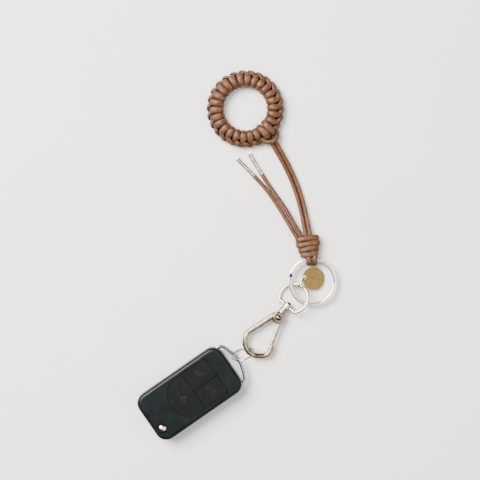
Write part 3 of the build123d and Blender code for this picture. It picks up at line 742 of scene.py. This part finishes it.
# The CAD pieces that stay, by finish.
CAD_FINISHES = {
    "core_steel": ("core_ring",),
    "pale_nickel": ("swivel_ring", "tag_jump_ring", "swivel_stud"),
    "satin_brass": ("tag_disc",),
    "hook_nickel": ("hook_body",),
    "cap_nickel": ("tail_cap_left", "tail_cap_right"),
    "link_steel": ("fob_link_ring",),
    "dark_chrome": ("fob_bail",),
    "blade_steel": ("fob_key_pivot_pin", "fob_key_blade"),
    "spring_steel": ("gate_spring", "fob_screw", "fob_key_spring", "fob_roll_pin"),
    "hub_alloy": ("fob_key_hub",),
    "cell_steel": ("fob_battery",),
    "shell_plastic": ("fob_upper_shell",),
    "base_plastic": ("fob_lower_shell", "fob_battery_cover"),
    "button_rubber": ("fob_button_web", "fob_button_large", "fob_button_top", "fob_button_right"),
    "board_green": ("fob_circuit_board",),
    "chip_glass": ("fob_transponder",),
}


def build_finishes():
    """Every material, by name."""
    finishes = {name: metal(name, *values) for name, values in METALS.items()}
    finishes.update((name, plastic(name, *values)) for name, values in PLASTICS.items())
    finishes["satin_brass"] = metal("satin_brass", (0.262, 0.163, 0.051), (0.208, 0.126, 0.036), 0.40,
                                    spread=0.10, bumps=0.00003, grain=5200.0)
    finishes["shell_plastic"] = plastic("shell_plastic", (0.0020, 0.0032, 0.0036),
                                        (0.0040, 0.0062, 0.0070), 0.30, specular=0.13)
    finishes["base_plastic"] = plastic("base_plastic", (0.0014, 0.0016, 0.0016),
                                       (0.0028, 0.0030, 0.0030), 0.45, specular=0.02)
    finishes["button_rubber"] = plastic("button_rubber", (0.0016, 0.0020, 0.0023),
                                        (0.0032, 0.0038, 0.0042), 0.42, grain=6400.0, specular=0.10)
    # The last colour of each leather is the painted shade at a cord's side edges and also the colour of the
    # grain's dark flecks.
    finishes["waxed_leather"] = leather("waxed_leather", (0.039, 0.0130, 0.0038),
                                        (0.075, 0.0272, 0.0086), (0.133, 0.0585, 0.0228),
                                        (0.0062, 0.0016, 0.0005))
    finishes["cord_leather"] = leather("cord_leather", (0.043, 0.0128, 0.0033),
                                       (0.085, 0.0285, 0.0082), (0.120, 0.0450, 0.0155),
                                       (0.024, 0.0066, 0.0017))
    return finishes


def finish_cad_pieces(finishes):
    """Gives every slot of the CAD pieces that stay their finish."""
    for name, pieces in CAD_FINISHES.items():
        for piece in pieces:
            for slot in bpy.data.objects[piece].material_slots:
                slot.material = finishes[name]


# ---- Floor, light and camera --------------------------------------------------------------
FLOOR_HALF = 1.6
AIM = Vector((0, 0, 0))
# Colours of the surround, by the sine of the height: 0 at the horizon and below, 1 overhead.
SKY = ((0.0, (0.34, 0.32, 0.30)), (0.25, (0.08, 0.07, 0.065)), (0.84, (0.10, 0.09, 0.085)),
       (0.95, (1.55, 1.54, 1.52)))
SKY_STRENGTH = 0.76
CAMERA_PLACE = (1.8 * MM, 10.1 * MM, 1.105)


def build_floor():
    """Pale matt table top."""
    s = Shader("table_top")
    cloud = s.noise(9.0, 3.0)
    s.join(s.ramp(cloud, ((0.3, (0.760, 0.752, 0.742)), (0.7, (0.780, 0.773, 0.764)))), "Base Color")
    fine = s.noise(900.0, 3.0)
    s.join(s.between(fine, 0.62, 0.72), "Roughness")
    s.join(s.bump(fine, 0.00004, 0.25), "Normal")
    mesh = bpy.data.meshes.new("table_top")
    corners = [(x * FLOOR_HALF, y * FLOOR_HALF, 0) for x, y in ((-1, -1), (1, -1), (1, 1), (-1, 1))]
    mesh.from_pydata(corners, [], [(0, 1, 2, 3)])
    mesh.materials.append(s.material)
    floor = bpy.data.objects.new("table_top", mesh)
    bpy.context.scene.collection.objects.link(floor)


def area_light(name, place, side, power, colour):
    """Square soft light aimed at the middle of the object."""
    lamp = bpy.data.lights.new(name, "AREA")
    lamp.shape = "SQUARE"
    lamp.size = side
    lamp.energy = power
    lamp.color = colour
    light = bpy.data.objects.new(name, lamp)
    light.location = place
    light.rotation_mode = "QUATERNION"
    light.rotation_quaternion = (AIM - Vector(place)).to_track_quat("-Z", "Y")
    bpy.context.scene.collection.objects.link(light)


def build_world():
    """Soft studio surround: bright overhead, dark round the sides, a little lighter at the horizon."""
    world = bpy.data.worlds.new("studio")
    bpy.context.scene.world = world
    world.use_nodes = True
    nodes, links = world.node_tree.nodes, world.node_tree.links
    place = nodes.new("ShaderNodeTexCoord")
    split = nodes.new("ShaderNodeSeparateXYZ")
    ramp = nodes.new("ShaderNodeValToRGB")
    set_stops(ramp.color_ramp, SKY)
    links.new(place.outputs["Generated"], split.inputs["Vector"])
    links.new(split.outputs["Z"], ramp.inputs["Fac"])
    links.new(ramp.outputs["Color"], nodes["Background"].inputs["Color"])
    nodes["Background"].inputs["Strength"].default_value = SKY_STRENGTH


def build_camera():
    """Straight overhead, with the finger loop at the top of the picture."""
    data = bpy.data.cameras.new("camera")
    data.sensor_width = 36.0
    data.lens = 114.6
    data.clip_start, data.clip_end = 0.05, 20.0
    camera = bpy.data.objects.new("camera", data)
    camera.location = CAMERA_PLACE
    bpy.context.scene.collection.objects.link(camera)
    bpy.context.scene.camera = camera


# ---- Scene --------------------------------------------------------------------------------
build_camera()
finishes = build_finishes()
for cord_name in ROUTES:
    build_cord(cord_name, finishes["cord_leather"])
build_braid(finishes["waxed_leather"])
build_hitch(finishes["waxed_leather"])
build_knot(finishes["waxed_leather"])
for eye_name, eye_turn in EYE_TURNS.items():
    build_eye(eye_name, eye_turn, finishes["waxed_leather"])
build_split_ring(finishes["bright_steel"])
finish_cad_pieces(finishes)
build_gate(finishes["hook_nickel"])
build_release(finishes["polished_release"])
build_icons(finishes["icon_print"])
build_floor()
build_world()
area_light("key_light", (-0.75, 0.55, 1.25), 1.0, 112.0, (1.0, 0.975, 0.94))
area_light("fill_light", (0.9, -0.2, 1.3), 1.6, 22.0, (0.96, 0.98, 1.0))
